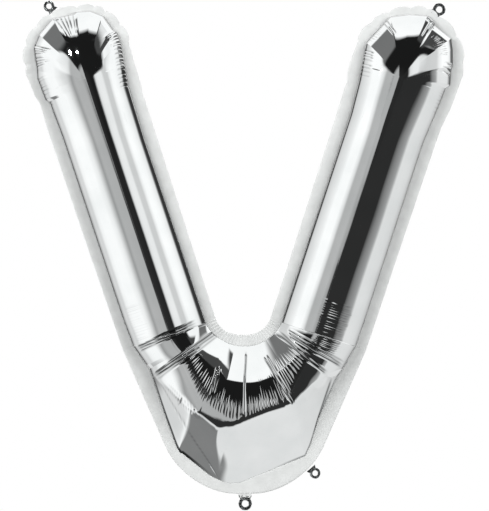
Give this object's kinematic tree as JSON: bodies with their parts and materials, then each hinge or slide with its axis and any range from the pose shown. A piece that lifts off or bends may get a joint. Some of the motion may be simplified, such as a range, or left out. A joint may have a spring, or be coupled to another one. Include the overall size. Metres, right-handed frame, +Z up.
{
  "type": "letter foil balloon",
  "caption": "Inflated foil balloon shaped as a capital V: front and back panels welded at a flat border seam, with ring tabs to tie or hang it and a fill tail with valve.",
  "frame": {"origin": "centre of the gas in the filled letter, where its lift acts, on the seam's middle plane", "axes": "+Z up the letter, +Y from its front to its back, +X to the reader's right"},
  "size_m": [0.7216, 0.1536, 0.8497],
  "materials": {
    "mirror_foil": "metallised film, mirror bright, silver",
    "seam_foil": "metallised film, heat welded, satin",
    "tab_foil": "metallised film, die cut, bright",
    "valve_film": "clear polythene film over foil"
  },
  "bodies": {
    "root": {"front_panel": "mirror_foil", "back_panel": "mirror_foil", "seam_flange": "seam_foil", "fill_neck": "seam_foil", "valve_film": "valve_film", "tab_top_left": "tab_foil", "tab_top_right": "tab_foil", "tab_bottom": "tab_foil", "tab_bottom_right": "tab_foil"}
  },
  "joints": []
}
